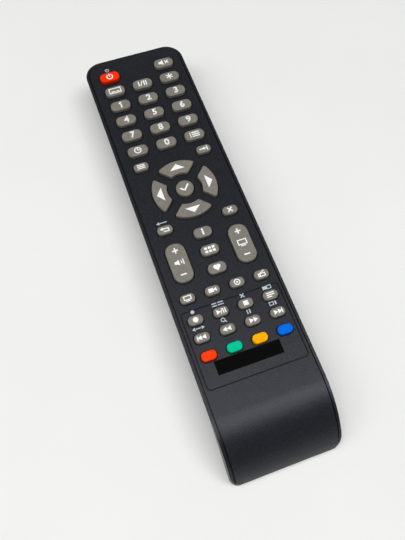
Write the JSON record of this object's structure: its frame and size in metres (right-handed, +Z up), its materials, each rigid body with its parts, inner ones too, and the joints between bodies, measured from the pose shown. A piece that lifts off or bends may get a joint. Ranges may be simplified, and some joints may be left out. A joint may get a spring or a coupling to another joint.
{
  "type": "television remote control",
  "caption": "Long black handset with a rimmed key face that curves down over the nose, rubber push keys, a cursor ring, two rockers and a sliding battery door.",
  "frame": {"origin": "middle of the footprint, on the table", "axes": "+Y along the handset towards the infrared end, +Z up out of the key face, +X to the right"},
  "size_m": [0.0464, 0.1956, 0.0205],
  "materials": {
    "case": "fine satin grain",
    "grey_keys": "matte",
    "power_key": "matte",
    "red_key": "matte",
    "green_key": "matte",
    "yellow_key": "matte",
    "blue_key": "matte",
    "mat": "matte",
    "board": "solder-mask green",
    "chip": "matte",
    "resonator": "dipped",
    "capacitor": "sleeved",
    "diode": "clear, dark tint",
    "contacts": "nickel plated",
    "cells": "plain sleeve",
    "screw": "zinc plated"
  },
  "bodies": {
    "case": {"lower_case": "case", "upper_case": "case", "contact_plates": "contacts", "battery_springs": "contacts", "aaa_cells": "cells", "circuit_board": "board", "controller_chip": "chip", "capacitor": "capacitor", "ceramic_resonator": "resonator", "infrared_led": "diode", "keypad_mat": "mat", "case_screw": "screw"},
    "battery_door": {"battery_door": "case"},
    "power_key": {"power_key": "power_key"},
    "mute_key": {"mute_key": "grey_keys"},
    "subtitle_key": {"subtitle_key": "grey_keys"},
    "sound_key": {"sound_key": "grey_keys"},
    "freeze_key": {"freeze_key": "grey_keys"},
    "digit_1_key": {"digit_1_key": "grey_keys"},
    "digit_2_key": {"digit_2_key": "grey_keys"},
    "digit_3_key": {"digit_3_key": "grey_keys"},
    "digit_4_key": {"digit_4_key": "grey_keys"},
    "digit_5_key": {"digit_5_key": "grey_keys"},
    "digit_6_key": {"digit_6_key": "grey_keys"},
    "digit_7_key": {"digit_7_key": "grey_keys"},
    "digit_8_key": {"digit_8_key": "grey_keys"},
    "digit_9_key": {"digit_9_key": "grey_keys"},
    "sleep_key": {"sleep_key": "grey_keys"},
    "digit_0_key": {"digit_0_key": "grey_keys"},
    "list_key": {"list_key": "grey_keys"},
    "menu_key": {"menu_key": "grey_keys"},
    "source_key": {"source_key": "grey_keys"},
    "up_key": {"up_key": "grey_keys"},
    "left_key": {"left_key": "grey_keys"},
    "down_key": {"down_key": "grey_keys"},
    "right_key": {"right_key": "grey_keys"},
    "ok_key": {"ok_key": "grey_keys"},
    "back_key": {"back_key": "grey_keys"},
    "exit_key": {"exit_key": "grey_keys"},
    "info_key": {"info_key": "grey_keys"},
    "guide_key": {"guide_key": "grey_keys"},
    "favourite_key": {"favourite_key": "grey_keys"},
    "tuner_key": {"tuner_key": "grey_keys"},
    "video_key": {"video_key": "grey_keys"},
    "player_key": {"player_key": "grey_keys"},
    "radio_key": {"radio_key": "grey_keys"},
    "record_key": {"record_key": "grey_keys"},
    "play_key": {"play_key": "grey_keys"},
    "stop_key": {"stop_key": "grey_keys"},
    "text_key": {"text_key": "grey_keys"},
    "previous_key": {"previous_key": "grey_keys"},
    "rewind_key": {"rewind_key": "grey_keys"},
    "forward_key": {"forward_key": "grey_keys"},
    "next_key": {"next_key": "grey_keys"},
    "red_key": {"red_key": "red_key"},
    "green_key": {"green_key": "green_key"},
    "yellow_key": {"yellow_key": "yellow_key"},
    "blue_key": {"blue_key": "blue_key"},
    "volume_rocker": {"volume_rocker": "grey_keys"},
    "channel_rocker": {"channel_rocker": "grey_keys"}
  },
  "joints": [
    {"name": "battery_door_slide", "type": "slide", "parent": "case", "child": "battery_door", "axis": [0, -1, 0], "range_m": [0, 0.078]},
    {"name": "power_press", "type": "slide", "parent": "case", "child": "power_key", "axis": [0, 0, -1], "range_m": [0, 0.0008], "stiffness_N_per_m": 800},
    {"name": "mute_press", "type": "slide", "parent": "case", "child": "mute_key", "axis": [0, 0, -1], "range_m": [0, 0.0008], "stiffness_N_per_m": 800},
    {"name": "subtitle_press", "type": "slide", "parent": "case", "child": "subtitle_key", "axis": [0, 0, -1], "range_m": [0, 0.0008], "stiffness_N_per_m": 800},
    {"name": "sound_press", "type": "slide", "parent": "case", "child": "sound_key", "axis": [0, 0, -1], "range_m": [0, 0.0008], "stiffness_N_per_m": 800},
    {"name": "freeze_press", "type": "slide", "parent": "case", "child": "freeze_key", "axis": [0, 0, -1], "range_m": [0, 0.0008], "stiffness_N_per_m": 800},
    {"name": "digit_1_press", "type": "slide", "parent": "case", "child": "digit_1_key", "axis": [0, 0, -1], "range_m": [0, 0.0008], "stiffness_N_per_m": 800},
    {"name": "digit_2_press", "type": "slide", "parent": "case", "child": "digit_2_key", "axis": [0, 0, -1], "range_m": [0, 0.0008], "stiffness_N_per_m": 800},
    {"name": "digit_3_press", "type": "slide", "parent": "case", "child": "digit_3_key", "axis": [0, 0, -1], "range_m": [0, 0.0008], "stiffness_N_per_m": 800},
    {"name": "digit_4_press", "type": "slide", "parent": "case", "child": "digit_4_key", "axis": [0, 0, -1], "range_m": [0, 0.0008], "stiffness_N_per_m": 800},
    {"name": "digit_5_press", "type": "slide", "parent": "case", "child": "digit_5_key", "axis": [0, 0, -1], "range_m": [0, 0.0008], "stiffness_N_per_m": 800},
    {"name": "digit_6_press", "type": "slide", "parent": "case", "child": "digit_6_key", "axis": [0, 0, -1], "range_m": [0, 0.0008], "stiffness_N_per_m": 800},
    {"name": "digit_7_press", "type": "slide", "parent": "case", "child": "digit_7_key", "axis": [0, 0, -1], "range_m": [0, 0.0008], "stiffness_N_per_m": 800},
    {"name": "digit_8_press", "type": "slide", "parent": "case", "child": "digit_8_key", "axis": [0, 0, -1], "range_m": [0, 0.0008], "stiffness_N_per_m": 800},
    {"name": "digit_9_press", "type": "slide", "parent": "case", "child": "digit_9_key", "axis": [0, 0, -1], "range_m": [0, 0.0008], "stiffness_N_per_m": 800},
    {"name": "sleep_press", "type": "slide", "parent": "case", "child": "sleep_key", "axis": [0, 0, -1], "range_m": [0, 0.0008], "stiffness_N_per_m": 800},
    {"name": "digit_0_press", "type": "slide", "parent": "case", "child": "digit_0_key", "axis": [0, 0, -1], "range_m": [0, 0.0008], "stiffness_N_per_m": 800},
    {"name": "list_press", "type": "slide", "parent": "case", "child": "list_key", "axis": [0, 0, -1], "range_m": [0, 0.0008], "stiffness_N_per_m": 800},
    {"name": "menu_press", "type": "slide", "parent": "case", "child": "menu_key", "axis": [0, 0, -1], "range_m": [0, 0.0008], "stiffness_N_per_m": 800},
    {"name": "source_press", "type": "slide", "parent": "case", "child": "source_key", "axis": [0, 0, -1], "range_m": [0, 0.0008], "stiffness_N_per_m": 800},
    {"name": "up_press", "type": "slide", "parent": "case", "child": "up_key", "axis": [0, 0, -1], "range_m": [0, 0.0008], "stiffness_N_per_m": 800},
    {"name": "left_press", "type": "slide", "parent": "case", "child": "left_key", "axis": [0, 0, -1], "range_m": [0, 0.0008], "stiffness_N_per_m": 800},
    {"name": "down_press", "type": "slide", "parent": "case", "child": "down_key", "axis": [0, 0, -1], "range_m": [0, 0.0008], "stiffness_N_per_m": 800},
    {"name": "right_press", "type": "slide", "parent": "case", "child": "right_key", "axis": [0, 0, -1], "range_m": [0, 0.0008], "stiffness_N_per_m": 800},
    {"name": "ok_press", "type": "slide", "parent": "case", "child": "ok_key", "axis": [0, 0, -1], "range_m": [0, 0.0008], "stiffness_N_per_m": 800},
    {"name": "back_press", "type": "slide", "parent": "case", "child": "back_key", "axis": [0, 0, -1], "range_m": [0, 0.0008], "stiffness_N_per_m": 800},
    {"name": "exit_press", "type": "slide", "parent": "case", "child": "exit_key", "axis": [0, 0, -1], "range_m": [0, 0.0008], "stiffness_N_per_m": 800},
    {"name": "info_press", "type": "slide", "parent": "case", "child": "info_key", "axis": [0, 0, -1], "range_m": [0, 0.0008], "stiffness_N_per_m": 800},
    {"name": "guide_press", "type": "slide", "parent": "case", "child": "guide_key", "axis": [0, 0, -1], "range_m": [0, 0.0008], "stiffness_N_per_m": 800},
    {"name": "favourite_press", "type": "slide", "parent": "case", "child": "favourite_key", "axis": [0, 0, -1], "range_m": [0, 0.0008], "stiffness_N_per_m": 800},
    {"name": "tuner_press", "type": "slide", "parent": "case", "child": "tuner_key", "axis": [0, 0, -1], "range_m": [0, 0.0008], "stiffness_N_per_m": 800},
    {"name": "video_press", "type": "slide", "parent": "case", "child": "video_key", "axis": [0, 0, -1], "range_m": [0, 0.0008], "stiffness_N_per_m": 800},
    {"name": "player_press", "type": "slide", "parent": "case", "child": "player_key", "axis": [0, 0, -1], "range_m": [0, 0.0008], "stiffness_N_per_m": 800},
    {"name": "radio_press", "type": "slide", "parent": "case", "child": "radio_key", "axis": [0, 0, -1], "range_m": [0, 0.0008], "stiffness_N_per_m": 800},
    {"name": "record_press", "type": "slide", "parent": "case", "child": "record_key", "axis": [0, 0, -1], "range_m": [0, 0.0008], "stiffness_N_per_m": 800},
    {"name": "play_press", "type": "slide", "parent": "case", "child": "play_key", "axis": [0, 0, -1], "range_m": [0, 0.0008], "stiffness_N_per_m": 800},
    {"name": "stop_press", "type": "slide", "parent": "case", "child": "stop_key", "axis": [0, 0, -1], "range_m": [0, 0.0008], "stiffness_N_per_m": 800},
    {"name": "text_press", "type": "slide", "parent": "case", "child": "text_key", "axis": [0, 0, -1], "range_m": [0, 0.0008], "stiffness_N_per_m": 800},
    {"name": "previous_press", "type": "slide", "parent": "case", "child": "previous_key", "axis": [0, 0, -1], "range_m": [0, 0.0008], "stiffness_N_per_m": 800},
    {"name": "rewind_press", "type": "slide", "parent": "case", "child": "rewind_key", "axis": [0, 0, -1], "range_m": [0, 0.0008], "stiffness_N_per_m": 800},
    {"name": "forward_press", "type": "slide", "parent": "case", "child": "forward_key", "axis": [0, 0, -1], "range_m": [0, 0.0008], "stiffness_N_per_m": 800},
    {"name": "next_press", "type": "slide", "parent": "case", "child": "next_key", "axis": [0, 0, -1], "range_m": [0, 0.0008], "stiffness_N_per_m": 800},
    {"name": "red_press", "type": "slide", "parent": "case", "child": "red_key", "axis": [0, 0, -1], "range_m": [0, 0.0008], "stiffness_N_per_m": 800},
    {"name": "green_press", "type": "slide", "parent": "case", "child": "green_key", "axis": [0, 0, -1], "range_m": [0, 0.0008], "stiffness_N_per_m": 800},
    {"name": "yellow_press", "type": "slide", "parent": "case", "child": "yellow_key", "axis": [0, 0, -1], "range_m": [0, 0.0008], "stiffness_N_per_m": 800},
    {"name": "blue_press", "type": "slide", "parent": "case", "child": "blue_key", "axis": [0, 0, -1], "range_m": [0, 0.0008], "stiffness_N_per_m": 800},
    {"name": "volume_tilt", "type": "hinge", "parent": "case", "child": "volume_rocker", "pos_m": [-0.0135, -0.01235, 0.0165], "axis": [1, 0, 0], "range_deg": [-2.5, 2.5], "stiffness_Nm_per_rad": 0.3},
    {"name": "channel_tilt", "type": "hinge", "parent": "case", "child": "channel_rocker", "pos_m": [0.0135, -0.01235, 0.0165], "axis": [1, 0, 0], "range_deg": [-2.5, 2.5], "stiffness_Nm_per_rad": 0.3}
  ]
}
